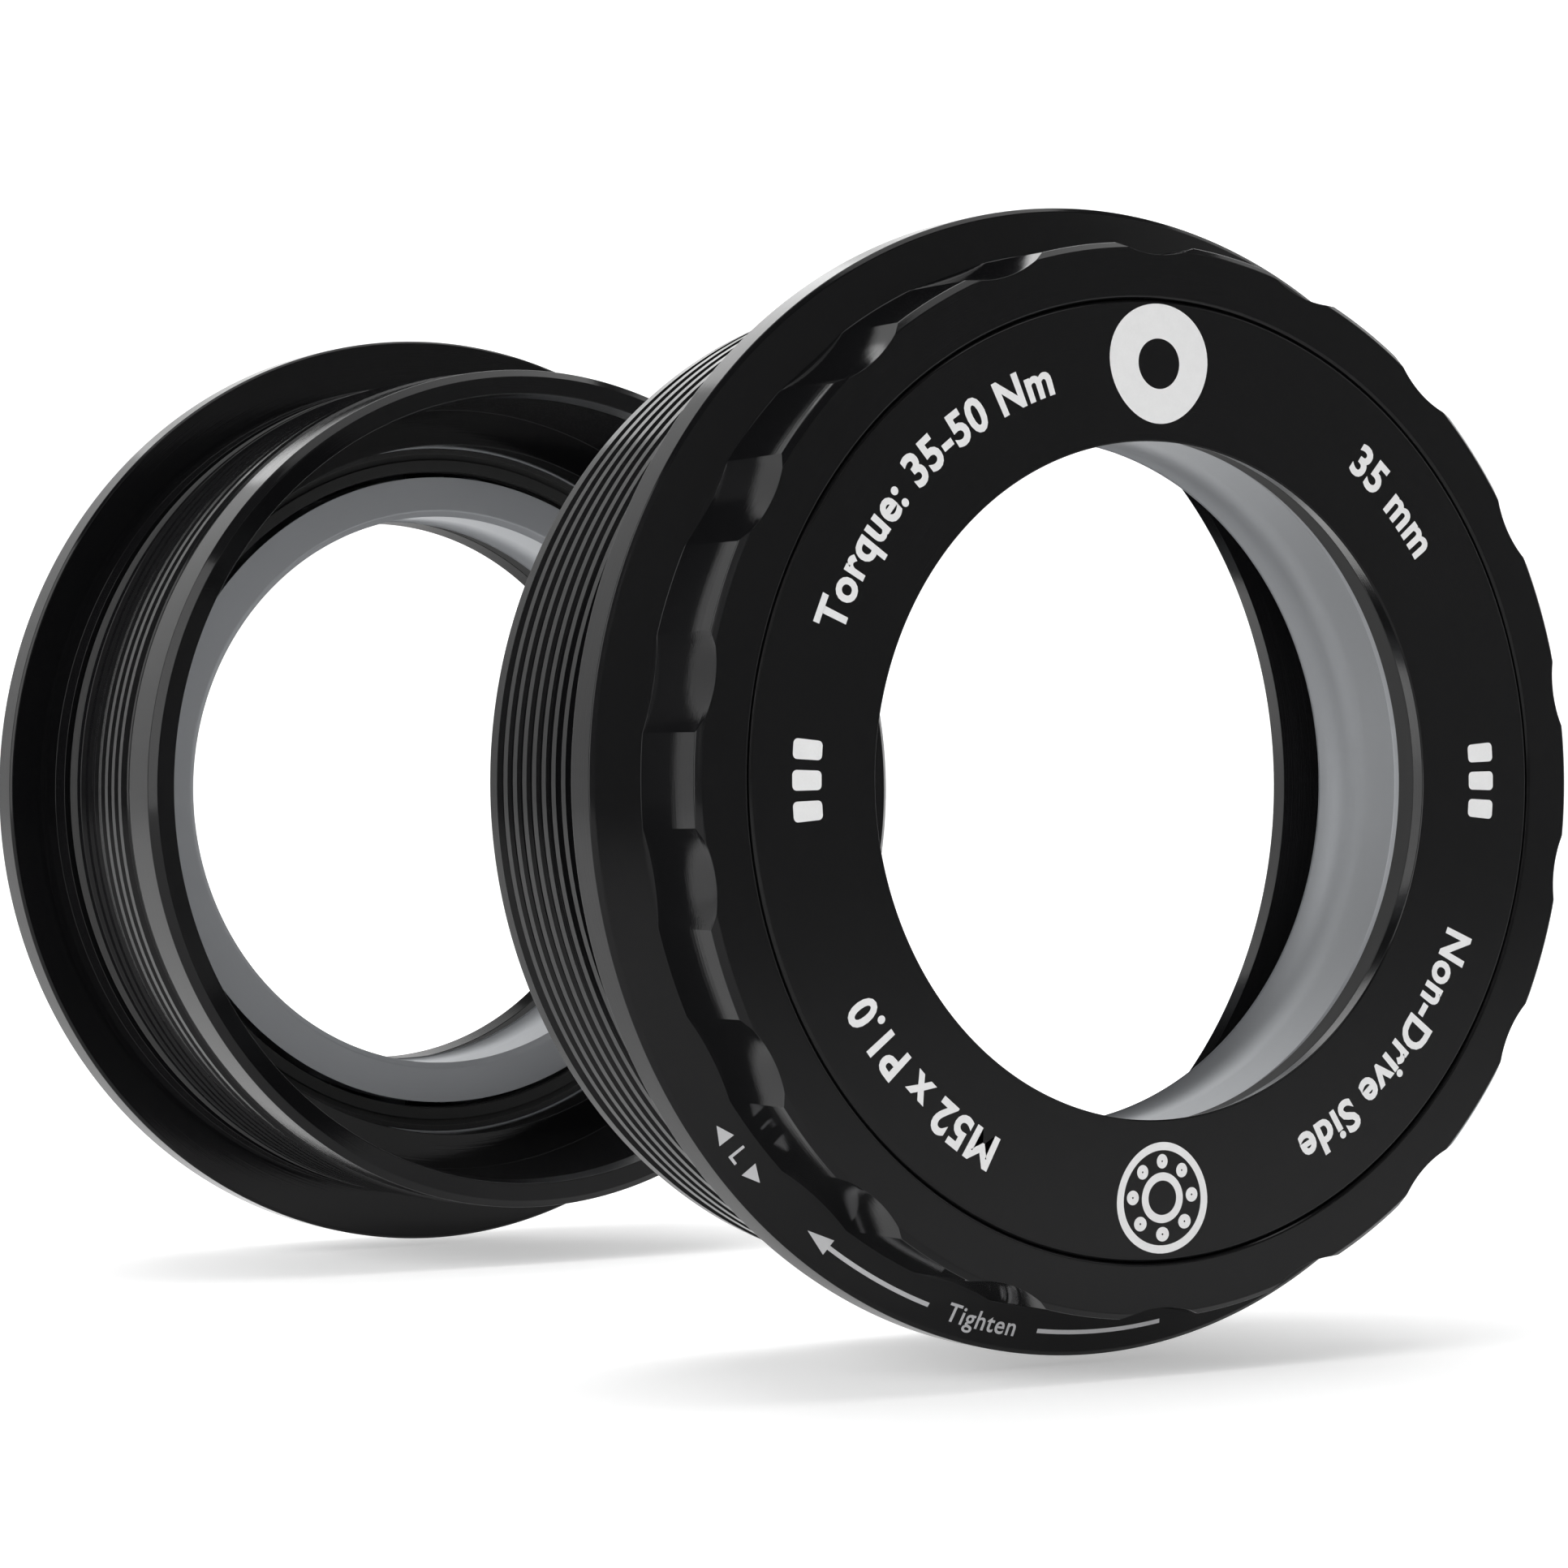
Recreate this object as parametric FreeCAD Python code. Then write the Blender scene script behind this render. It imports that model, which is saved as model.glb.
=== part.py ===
"""Threaded external-bearing bottom bracket for a bicycle: two mirrored cups on one axis.

The spindle axis is +Y and +Z is up. The origin is on the axis, half way between the cups.
The non-drive cup is at -Y and the drive cup at +Y. Every length is in millimetres.

A cup is drawn in stations: a station is the distance from the cup's outer face towards the
middle of the bicycle. Every piece is drawn on the non-drive side, and the drive side's pieces
are mirrored from there.
"""
import FreeCAD
import Part
import math
import os

# ---- driving dimensions -------------------------------------------------------------------

# the pair of cups
shell_width = 70.7               # between the two flange seats
ring_length = 5.2                # tool ring, outer face to flange
flange_rise = 0.65               # the flange's outer face slopes this far from root to rim
flange_rim = 2.05                # rim with both of its bevels
spigot_length = 14.3             # flange seat to leading end

# bearing, thin-section metric size 35 x 47 x 7
spindle_radius = 17.5
bearing_section = 6.0            # bore to outside
bearing_width = 7.0
bearing_depth = 2.9              # outer face to bearing
land_gap = 1.48                  # between the two rings' lands, where the balls show
land_offset = 0.33               # the gap's middle sits this far outside the section's middle
bearing_chamfer = 0.4
ball_radius = 1.75
ball_count = 22
race_clearance = 0.05            # ball to groove, all round
cage_clearance = 0.3             # cage to each ring
cage_width = 4.8
pocket_clearance = 0.1           # ball to its pocket

# bearing seals
seal_recess = 0.08               # seal face below the ring's end face
seal_rib_height = 0.22
seal_base = 0.3
seal_gap = 0.31                  # seal to the inner ring
seal_ledge = 0.06                # seal bore to the rib
seal_rib_width = 0.71
seal_rim_width = 0.33
seal_bite = 0.33                 # how far the seal sits into the outer ring
seal_clearance = 0.02            # seal's edge to its rebate

# cup walls and edges
cup_wall = 2.5                   # bearing seat to thread crest
ring_wall = 3.1                  # bearing seat to tool ring
flange_overhang = 2.35           # tool ring to flange rim
flange_bevel = 0.2
notch_count = 18
notch_width = 4.7
notch_face_depth = 0.6           # at the outer face
notch_root_depth = 0.3           # at the flange
scoop_half_turn = 50.0           # degrees of the scoop's circle used either side of its floor
face_chamfer = 0.3

# spigot: neck, seal groove, thread and leading collar
neck_length = 1.4
groove_width = 2.0
groove_floor_wall = 1.05         # bearing seat to the groove's floor
thread_land = 0.56
thread_pitch = 1.0
thread_depth = 0.6
thread_half_width = 0.29
non_drive_collar = 1.34
drive_collar = 3.34
collar_drop = 0.1                # the collar is this much smaller than the thread
collar_bevel = 0.45
spigot_wall = 1.8
mouth_flare = 0.2
mouth_length = 1.2
shoulder_height = 1.53
shoulder_width = 2.25

# dust cap, its O-ring and the spindle seal
cap_seat_step = 0.3              # bearing seat out to cap seat
cap_seat_depth = 2.6
cap_clearance = 0.05             # cap to its seat
cap_plate = 1.1
cap_skirt = 1.95
cap_bevel = 0.15
cap_groove_start = 1.2
cap_groove_width = 1.0
cap_groove_depth = 1.0
non_drive_lip = -0.75            # cap's bore, out from the spindle
drive_lip = 0.1
lip_flare = 0.25                 # each cap's bore opens by this much through the plate
spindle_seal_wall = 1.55
spindle_seal_length = 1.5
o_ring_clearance = 0.02          # O-ring to the floor of its groove
cutter_overrun = 1.0             # cutters start and end this far clear of what they cut
cap_o_ring_section = 0.94
shell_o_ring_section = 1.4

# ---- sizes worked out from the driving dimensions -----------------------------------------

bearing_radius = spindle_radius + bearing_section
bearing_end = bearing_depth + bearing_width
bearing_middle = bearing_depth + bearing_width / 2
pitch_radius = spindle_radius + bearing_section / 2 + land_offset
inner_land = pitch_radius - land_gap / 2
outer_land = pitch_radius + land_gap / 2
thread_radius = bearing_radius + cup_wall
ring_radius = bearing_radius + ring_wall
flange_radius = ring_radius + flange_overhang
flange_end = ring_length + flange_rise + flange_rim
cup_length = flange_end + spigot_length
shoulder_end = bearing_end + shoulder_width
bore_radius = thread_radius - spigot_wall
groove_start = flange_end + neck_length
groove_end = groove_start + groove_width
groove_radius = bearing_radius + groove_floor_wall
thread_start = groove_end + thread_land
cap_seat_radius = bearing_radius + cap_seat_step
cap_radius = cap_seat_radius - cap_clearance
outer_face = shell_width / 2 + flange_end

CENTRE = FreeCAD.Vector(0, 0, 0)
AXIS = FreeCAD.Vector(0, 1, 0)


def point(station, radius, angle=0.0):
    """Point at a station, a radius and an angle in degrees about the spindle axis."""
    turn = math.radians(angle)
    return FreeCAD.Vector(radius * math.cos(turn), station - outer_face, radius * math.sin(turn))


def turned(outline):
    """Solid of revolution about the spindle axis, from (station, radius) corners."""
    corners = [point(station, radius) for station, radius in outline]
    wire = Part.makePolygon(corners + corners[:1])
    return Part.Face(wire).revolve(CENTRE, AXIS, 360)


def hoop(station, radius, section):
    """Torus about the spindle axis; section is the radius of its wire."""
    return Part.makeTorus(radius, section, point(station, 0), AXIS)


def spaced(count, offset=0.0):
    """Evenly spaced angles for count items, the first at offset pitches."""
    return [360.0 * (index + offset) / count for index in range(count)]


# ---- cup ----------------------------------------------------------------------------------

def flange_outline():
    """Corners from the outer face over the tool ring and the flange to the neck."""
    rim_start = ring_length + flange_rise + flange_bevel
    rim_end = flange_end - flange_bevel
    return [
        (0, ring_radius - face_chamfer),
        (face_chamfer, ring_radius),
        (ring_length, ring_radius),
        (ring_length + flange_rise, flange_radius - flange_bevel),
        (rim_start, flange_radius),
        (rim_end, flange_radius),
        (flange_end, flange_radius - flange_bevel),
        (flange_end, thread_radius),
        (groove_start, thread_radius),
        (groove_start, groove_radius),
        (groove_end, groove_radius),
        (groove_end, thread_radius),
    ]


def thread_outline(collar):
    """Corners of the thread's grooves, then the collar that leads the cup into the shell."""
    zone = cup_length - collar - thread_start
    turns = int(zone / thread_pitch + 0.001)
    corners = []
    for turn in range(turns):
        middle = thread_start + (turn + 0.5) * thread_pitch
        corners.append((middle - thread_half_width, thread_radius))
        corners.append((middle, thread_radius - thread_depth))
        corners.append((middle + thread_half_width, thread_radius))
    thread_end = thread_start + turns * thread_pitch
    collar_radius = thread_radius - collar_drop
    return corners + [
        (thread_end, thread_radius),
        (thread_end + collar_drop, collar_radius),
        (cup_length - collar_bevel, collar_radius),
        (cup_length, collar_radius - collar_bevel),
    ]


def inside_outline():
    """Corners of the bore, from the leading end back to the outer face."""
    shoulder_radius = bearing_radius - shoulder_height
    return [
        (cup_length, bore_radius + mouth_flare),
        (cup_length - mouth_length, bore_radius),
        (shoulder_end, bore_radius),
        (shoulder_end, shoulder_radius),
        (bearing_end, shoulder_radius),
        (bearing_end, bearing_radius),
        (cap_seat_depth, bearing_radius),
        (cap_seat_depth, cap_seat_radius),
        (0, cap_seat_radius),
    ]


def scoop_radius(depth):
    """Radius of the round scoop that leaves a notch of the stated width at a depth."""
    half = notch_width / 2
    rise = depth - ring_radius + math.sqrt(ring_radius ** 2 - half ** 2)
    return (half ** 2 + rise ** 2) / (2 * rise)


def notch_slice(station, angle):
    """Outline of a notch's scoop at one station: a round floor closed by a straight top."""
    share = station / ring_length
    face_radius = scoop_radius(notch_face_depth)
    radius = face_radius + (scoop_radius(notch_root_depth) - face_radius) * share
    floor = ring_radius - notch_face_depth + (notch_face_depth - notch_root_depth) * share
    top = floor + radius * (1 - math.cos(math.radians(scoop_half_turn)))
    across = point(station, radius * math.sin(math.radians(scoop_half_turn)), angle + 90)
    across = across - point(station, 0)
    left = point(station, top, angle) - across
    right = point(station, top, angle) + across
    round_floor = Part.Arc(left, point(station, floor, angle), right).toShape()
    return Part.Wire([round_floor, Part.makeLine(right, left)])


def notch_cutter(angle):
    """Tapered bar that scoops one notch, deepest at the outer face."""
    slices = [notch_slice(station, angle) for station in (-cutter_overrun, ring_length)]
    return Part.makeLoft(slices, True, True)


def cup(collar):
    """Aluminium cup: tool ring, flange, threaded spigot, and the bearing's seat inside."""
    body = turned(flange_outline() + thread_outline(collar) + inside_outline())
    return body.cut([notch_cutter(angle) for angle in spaced(notch_count, 0.5)])


def shell_o_ring():
    """Rubber O-ring in the groove behind the neck."""
    section = shell_o_ring_section / 2
    return hoop(groove_start + groove_width / 2, groove_radius + o_ring_clearance + section, section)


# ---- dust cap and seals -------------------------------------------------------------------

def dust_cap(lip):
    """Cover plate with a skirt that presses into the cup, grooved for its O-ring."""
    bore = spindle_radius + lip
    skirt = cap_radius - cap_skirt
    floor = cap_radius - cap_groove_depth
    groove_back = cap_groove_start + cap_groove_width
    cap_back = cap_seat_depth - cap_clearance
    return turned([
        (0, bore),
        (0, cap_radius - cap_bevel),
        (cap_bevel, cap_radius),
        (cap_groove_start, cap_radius),
        (cap_groove_start, floor),
        (groove_back, floor),
        (groove_back, cap_radius),
        (cap_back, cap_radius),
        (cap_back, skirt),
        (cap_plate, skirt),
        (cap_plate, bore + lip_flare),
    ])


def cap_o_ring():
    """Rubber O-ring in the cap's skirt, which holds the cap in the cup."""
    section = cap_o_ring_section / 2
    floor = cap_radius - cap_groove_depth
    return hoop(cap_groove_start + cap_groove_width / 2, floor + o_ring_clearance + section, section)


def spindle_seal(lip):
    """Rubber ring behind the cap's bore that wipes the spindle."""
    bore = spindle_radius + lip + lip_flare
    back = cap_plate + spindle_seal_length
    return turned([
        (cap_plate, bore),
        (cap_plate, bore + spindle_seal_wall),
        (back, bore + spindle_seal_wall),
        (back, bore + lip_flare),
    ])


# ---- bearing ------------------------------------------------------------------------------

def ball_groove():
    """The space the balls run in, taken out of both rings."""
    return hoop(bearing_middle, pitch_radius, ball_radius + race_clearance)


def bearing_inner_ring():
    """Inner ring that turns with the spindle."""
    start = bearing_depth
    edge = bearing_chamfer
    blank = turned([
        (start + edge, spindle_radius),
        (start, spindle_radius + edge),
        (start, inner_land),
        (bearing_end, inner_land),
        (bearing_end, spindle_radius + edge),
        (bearing_end - edge, spindle_radius),
    ])
    return blank.cut(ball_groove())


def bearing_outer_ring():
    """Outer ring pressed into the cup, with a rebate at each end for a seal."""
    start = bearing_depth
    edge = bearing_chamfer
    rebate = outer_land + seal_bite
    deep = seal_recess + seal_rib_height + seal_base
    blank = turned([
        (start, rebate),
        (start, bearing_radius - edge),
        (start + edge, bearing_radius),
        (bearing_end - edge, bearing_radius),
        (bearing_end, bearing_radius - edge),
        (bearing_end, rebate),
        (bearing_end - deep, rebate),
        (bearing_end - deep, outer_land),
        (start + deep, outer_land),
        (start + deep, rebate),
    ])
    return blank.cut(ball_groove())


def bearing_seal(facing):
    """Rubber seal ring with a raised rib and rim; facing is -1 outboard, +1 inboard."""
    face = bearing_middle + facing * (bearing_width / 2 - seal_recess)
    web = face - facing * seal_rib_height
    back = web - facing * seal_base
    inner = inner_land + seal_gap
    rib = inner + seal_ledge
    outer = outer_land + seal_bite - seal_clearance
    rim = outer - seal_rim_width
    return turned([
        (back, inner),
        (web, inner),
        (web, rib),
        (face, rib),
        (face, rib + seal_rib_width),
        (web, rib + seal_rib_width),
        (web, rim),
        (face, rim),
        (face, outer),
        (back, outer),
    ])


def bearing_balls():
    """All the balls of one bearing, each its own solid."""
    centres = [point(bearing_middle, pitch_radius, angle) for angle in spaced(ball_count)]
    return Part.makeCompound([Part.makeSphere(ball_radius, centre) for centre in centres])


def bearing_cage():
    """Ring that spaces the balls, drilled with one round pocket for each."""
    half = cage_width / 2
    inner = inner_land + cage_clearance
    outer = outer_land - cage_clearance
    blank = turned([
        (bearing_middle - half, inner),
        (bearing_middle - half, outer),
        (bearing_middle + half, outer),
        (bearing_middle + half, inner),
    ])
    drills = []
    for angle in spaced(ball_count):
        start = point(bearing_middle, inner - cutter_overrun, angle)
        end = point(bearing_middle, outer + cutter_overrun, angle)
        drill = Part.makeCylinder(ball_radius + pocket_clearance, (end - start).Length, start, end - start)
        drills.append(drill)
    return blank.cut(drills)


# ---- both sides ---------------------------------------------------------------------------

def side_pieces(collar, lip):
    """Every piece of one side, drawn on the non-drive side."""
    return {
        "cup": cup(collar),
        "shell_o_ring": shell_o_ring(),
        "dust_cap": dust_cap(lip),
        "cap_o_ring": cap_o_ring(),
        "spindle_seal": spindle_seal(lip),
        "bearing_outer_ring": bearing_outer_ring(),
        "bearing_inner_ring": bearing_inner_ring(),
        "bearing_balls": bearing_balls(),
        "bearing_cage": bearing_cage(),
        "bearing_outboard_seal": bearing_seal(-1),
        "bearing_inboard_seal": bearing_seal(1),
    }


os.makedirs("parts", exist_ok=True)
for name, shape in side_pieces(non_drive_collar, non_drive_lip).items():
    shape.exportStep("parts/non_drive_" + name + ".step")
for name, shape in side_pieces(drive_collar, drive_lip).items():
    shape.mirror(CENTRE, AXIS).exportStep("parts/drive_" + name + ".step")
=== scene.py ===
import math

import bmesh
import bpy
from bpy.props import FloatProperty, FloatVectorProperty, IntProperty, PointerProperty
from mathutils import Matrix, Vector


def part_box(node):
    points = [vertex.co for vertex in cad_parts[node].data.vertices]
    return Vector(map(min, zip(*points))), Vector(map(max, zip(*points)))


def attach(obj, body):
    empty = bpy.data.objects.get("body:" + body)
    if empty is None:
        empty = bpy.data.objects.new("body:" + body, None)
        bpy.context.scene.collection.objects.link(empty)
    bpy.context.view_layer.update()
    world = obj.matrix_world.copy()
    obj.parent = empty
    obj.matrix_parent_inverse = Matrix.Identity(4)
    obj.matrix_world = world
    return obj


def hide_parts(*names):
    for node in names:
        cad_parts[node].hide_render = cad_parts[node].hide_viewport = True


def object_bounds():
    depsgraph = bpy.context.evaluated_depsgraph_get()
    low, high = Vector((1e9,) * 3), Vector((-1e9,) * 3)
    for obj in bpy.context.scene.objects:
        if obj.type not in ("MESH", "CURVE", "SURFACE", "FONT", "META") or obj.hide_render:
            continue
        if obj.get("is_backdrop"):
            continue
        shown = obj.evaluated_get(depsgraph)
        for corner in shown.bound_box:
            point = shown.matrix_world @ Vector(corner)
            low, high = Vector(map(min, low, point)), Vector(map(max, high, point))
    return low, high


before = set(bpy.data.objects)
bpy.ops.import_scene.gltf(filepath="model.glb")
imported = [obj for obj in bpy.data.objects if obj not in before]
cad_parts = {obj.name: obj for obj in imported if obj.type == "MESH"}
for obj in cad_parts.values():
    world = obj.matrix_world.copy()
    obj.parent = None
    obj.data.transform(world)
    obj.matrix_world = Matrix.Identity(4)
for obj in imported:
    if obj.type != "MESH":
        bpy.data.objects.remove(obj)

bl_info = {
    "name": "Threaded Bottom Bracket",
    "version": (1, 0, 0),
    "blender": (4, 5, 0),
    "location": "View3D > Sidebar > Bottom Bracket",
    "description": "Dresses a bicycle bottom bracket: cups, threads, bearings, seals and print",
    "category": "Object",
}

# ---- places taken from the frame ------------------------------------------------------------

MM = 0.001
SIDES = ("non_drive", "drive")
CUP_LOW, CUP_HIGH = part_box("non_drive_cup")
OUTER_FACE = -CUP_LOW.y
CUP_LENGTH = CUP_HIGH.y - CUP_LOW.y
FLANGE_RADIUS = CUP_HIGH.x
BEARING_LOW, BEARING_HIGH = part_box("non_drive_bearing_inner_ring")
BEARING_DEPTH = BEARING_LOW.y + OUTER_FACE
BEARING_END = BEARING_HIGH.y + OUTER_FACE
BEARING_MIDDLE = (BEARING_DEPTH + BEARING_END) / 2
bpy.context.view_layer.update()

# ---- small fixed details --------------------------------------------------------------------

SEAT_DEPTH = 7.9 * MM            # outer face to the flange's seat
COLLAR_LENGTH = {"non_drive": 1.34 * MM, "drive": 3.34 * MM}
THREAD_RUNOUT = 0.3 * MM
COLLAR_STEP = 0.1 * MM
SHOULDER_WALL = 2.25 * MM
BORE_FLARE = 0.2 * MM
BORE_FLARE_LENGTH = 1.2 * MM
CAP_SEAT_BREAK = 0.12 * MM
CAP_GROOVE = (1.2 * MM, 2.2 * MM)
CAP_GROOVE_DEPTH = 1.0 * MM
CAP_BEVEL = 0.15 * MM
CAP_DEPTH = 2.55 * MM
LIP_FLARE = 0.25 * MM            # each cap's bore opens by this much through the plate
SPINDLE_SEAL_LENGTH = 1.5 * MM
SPINDLE_SEAL_WALL = 1.55 * MM
SHELL_O_RING_RADIUS = 0.7 * MM
O_RING_CLEARANCE = 0.02 * MM
RING_CORNER = 0.4 * MM           # bevel at the inner ring's bore
BALL_CLEARANCE = 0.05 * MM
SEAL_RECESS = 0.08 * MM          # bearing's face to the seal's rib
SEAL_RIB = 0.22 * MM
SEAL_WEB = 0.3 * MM
SEAL_RIB_INNER = (0.06 * MM, 0.77 * MM)
SEAL_RIM_WALL = 0.33 * MM


def sign_of(side):
    """The non-drive side is at -Y and the drive side at +Y."""
    return -1 if side == "non_drive" else 1


def length(name, description, default_mm):
    """A length property shown in the scene's units, with its default given in millimetres."""
    return FloatProperty(name=name, description=description, default=default_mm * MM, min=0.0,
                         precision=5, unit="LENGTH", subtype="DISTANCE")


def colour(name, description, default):
    """A colour property."""
    return FloatVectorProperty(name=name, description=description, default=default, size=3,
                               min=0.0, max=1.0, subtype="COLOR")


def factor(name, description, default):
    """A property from 0 to 1."""
    return FloatProperty(name=name, description=description, default=default, min=0.0, max=1.0,
                         subtype="FACTOR")


class CupSizes(bpy.types.PropertyGroup):
    """Sizes of a cup."""
    ring_radius: length("Tool ring radius", "Radius over the lands of the tool ring", 26.6)
    ring_length: length("Tool ring length", "From the outer face to the flange", 5.2)
    flange_rise: length("Flange rise", "How far the flange's face slopes from root to rim", 0.65)
    flange_bevel: length("Flange bevel", "Bevel at both edges of the rim", 0.2)
    notch_count: IntProperty(name="Notches", description="Notches round the tool ring", default=18, min=3)
    notch_width: length("Notch width", "Width of a notch across its edges", 4.7)
    notch_face_depth: length("Notch depth at face", "Depth of a notch at the outer face", 0.6)
    notch_root_depth: length("Notch depth at root", "Depth of a notch at the flange", 0.3)
    face_chamfer: length("Face chamfer", "Chamfer round the lands at the outer face", 0.3)
    thread_radius: length("Thread radius", "Radius over the thread's crests", 26.0)
    thread_pitch: length("Thread pitch", "Distance from one turn to the next", 1.0)
    thread_depth: length("Thread depth", "Crest to root", 0.6)
    thread_crest: length("Thread crest", "Flat on top of each turn", 0.42)
    neck: length("Neck", "Plain length behind the flange", 1.4)
    groove_width: length("Groove width", "Width of the O-ring groove", 2.0)
    groove_radius: length("Groove radius", "Radius of the O-ring groove's floor", 24.55)
    land: length("Land", "Plain land between the O-ring groove and the thread", 0.56)
    collar_radius: length("Collar radius", "Radius of the leading collar", 25.9)
    collar_bevel: length("Collar bevel", "Bevel at the leading end", 0.45)
    bore_radius: length("Bore radius", "Radius of the spigot's bore", 24.2)
    shoulder_radius: length("Shoulder radius", "Lip that stops the bearing", 21.97)
    bearing_radius: length("Bearing radius", "Radius of the bearing's seat", 23.5)
    cap_seat_radius: length("Cap seat radius", "Radius of the dust cap's seat", 23.8)
    cap_seat_depth: length("Cap seat depth", "Depth of the dust cap's seat", 2.6)


class BearingSizes(bpy.types.PropertyGroup):
    """Sizes of a bearing, its seals and the cap over it."""
    bore_radius: length("Bore radius", "Radius of the spindle's bore", 17.5)
    inner_land: length("Inner land", "Outside radius of the inner ring", 20.09)
    pitch_radius: length("Pitch radius", "Radius of the circle the balls run on", 20.83)
    ball_radius: length("Ball radius", "Radius of a ball", 1.75)
    ball_count: IntProperty(name="Balls", description="Balls in one bearing", default=22, min=3)
    seal_inner: length("Seal bore", "Inside radius of a bearing seal", 20.4)
    seal_outer: length("Seal outside", "Outside radius of a bearing seal", 21.88)
    cap_radius: length("Cap radius", "Outside radius of the dust cap", 23.75)
    cap_plate: length("Cap plate", "Thickness of the dust cap", 1.1)
    cap_skirt: length("Cap skirt", "Wall of the dust cap's skirt", 1.95)
    cap_lip: length("Non-drive lip", "Radius of the non-drive cap's bore", 16.75)
    cap_lip_drive: length("Drive lip", "Radius of the drive cap's bore", 17.6)


class FinishColours(bpy.types.PropertyGroup):
    """Colours and gloss of the finishes."""
    anodised: colour("Anodised black", "Black of the cups", (0.0035, 0.0035, 0.0038))
    cap: colour("Cap black", "Black of the dust caps", (0.0040, 0.0040, 0.0043))
    steel: colour("Bearing steel", "Ground steel of the bearing rings", (0.35, 0.36, 0.375))
    print_white: colour("Print", "White ink of the caps' lettering", (0.79, 0.79, 0.79))
    etched: colour("Etched", "Grey of the flange's marks", (0.50, 0.50, 0.51))
    rubber: colour("Rubber", "Black of the O-rings and seals", (0.012, 0.012, 0.012))
    cage: colour("Cage", "Moulded plastic of the ball cage", (0.02, 0.02, 0.02))
    gloss: factor("Cup gloss roughness", "Roughness of the cups' surface", 0.09)


class StageSizes(bpy.types.PropertyGroup):
    """The studio round the object."""
    key: FloatProperty(name="Key light", description="Power of the side softbox", default=1.8,
                       min=0.0, unit="POWER")
    top: FloatProperty(name="Top light", description="Power of the overhead softbox", default=1.6,
                       min=0.0, unit="POWER")
    back: FloatProperty(name="Back light", description="Power of the backdrop's light", default=0.8,
                        min=0.0, unit="POWER")
    room: factor("Room light", "Brightness of the room all round", 0.12)
    lens: FloatProperty(name="Lens", description="Focal length of the camera", default=101.0,
                        min=1.0, unit="CAMERA")


# ---- shader arithmetic ----------------------------------------------------------------------

def add_node(tree, kind, settings, sockets):
    """A node of a kind, with its settings and then its sockets' values or links."""
    made = tree.nodes.new(kind)
    for key, setting in (settings or {}).items():
        setattr(made, key, setting)
    for key, source in (sockets or {}).items():
        source = getattr(source, "socket", source)
        if isinstance(source, bpy.types.NodeSocket):
            tree.links.new(source, made.inputs[key])
        else:
            made.inputs[key].default_value = source
    return made


class Value:
    """A number socket that can be used in arithmetic; each operation adds a Math node."""

    def __init__(self, finish, socket):
        self.finish = finish
        self.socket = socket

    def math(self, operation, *others):
        sources = (self.socket,) + tuple(getattr(other, "socket", other) for other in others)
        node = self.finish.node("ShaderNodeMath", {"operation": operation}, dict(enumerate(sources)))
        return Value(self.finish, node.outputs[0])

    def __add__(self, other):
        return self.math("ADD", other)

    def __mul__(self, other):
        return self.math("MULTIPLY", other)

    __radd__ = __add__
    __rmul__ = __mul__


class Finish:
    """One material and the nodes that make it."""

    def __init__(self, name):
        self.material = bpy.data.materials.new(name)
        self.material.use_nodes = True
        self.tree = self.material.node_tree
        self.tree.nodes.clear()
        self.coordinates = self.node("ShaderNodeTexCoord").outputs["Object"]

    def node(self, kind, settings=None, sockets=None):
        """A node of this material."""
        return add_node(self.tree, kind, settings, sockets)

    def noise(self, scale, detail=3.0, vector=None):
        """Noise from 0 to 1, its scale in features per metre."""
        node = self.node("ShaderNodeTexNoise", {}, {
            "Vector": vector or self.coordinates, "Scale": scale, "Detail": detail})
        return Value(self, node.outputs[0])

    def cylinder_place(self):
        """Radius and station along the spindle axis, and the angle round it."""
        split = self.node("ShaderNodeSeparateXYZ", {}, {0: self.coordinates})
        across = Value(self, split.outputs["X"])
        along = Value(self, split.outputs["Y"])
        up = Value(self, split.outputs["Z"])
        radius = (across * across + up * up).math("SQRT")
        angle = up.math("ARCTAN2", across)
        return radius, along, angle

    def join(self, first, second, third):
        """A vector of three values."""
        node = self.node("ShaderNodeCombineXYZ", {}, {0: first, 1: second, 2: third})
        return node.outputs[0]

    def tint(self, amount, dark, light):
        """A colour between two, by amount."""
        node = self.node("ShaderNodeMix", {"data_type": "RGBA"}, {
            "Factor": amount, 6: (*dark, 1.0), 7: (*light, 1.0)})
        return node.outputs[2]

    def bump(self, height, distance, strength=1.0):
        """A normal raised by a height from 0 to 1 over a distance in metres."""
        node = self.node("ShaderNodeBump", {}, {
            "Height": height, "Distance": distance, "Strength": strength})
        return node.outputs[0]

    def surface(self, sockets):
        """The shader and the output; returns the material."""
        shader = self.node("ShaderNodeBsdfPrincipled", {}, sockets)
        self.node("ShaderNodeOutputMaterial", {}, {"Surface": shader.outputs[0]})
        return self.material


def shade(tone, amount):
    """A colour made lighter or darker."""
    return tuple(min(1.0, part * amount) for part in tone)


def anodised_black(name, tone, roughness, turning=0.00016):
    """Dyed anodised aluminium: near-black, satin, with faint turning lines and a fine grain."""
    finish = Finish(name)
    radius, along, angle = finish.cylinder_place()
    grain = finish.noise(5200.0, 4.0)
    cloud = finish.noise(90.0, 2.0)
    lines = finish.noise(1.0, 2.0, finish.join(radius * 16000.0, along * 16000.0, angle * 1.5))
    return finish.surface({
        "Base Color": finish.tint(cloud * 0.6 + grain * 0.4, shade(tone, 0.8), shade(tone, 1.3)),
        "Roughness": grain * 0.03 + lines * 0.03 + cloud * 0.03 + (roughness - 0.045),
        "Normal": finish.bump(lines * 0.7 + grain * 0.3, turning * 0.02),
        "Specular IOR Level": 0.17,
    })


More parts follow.
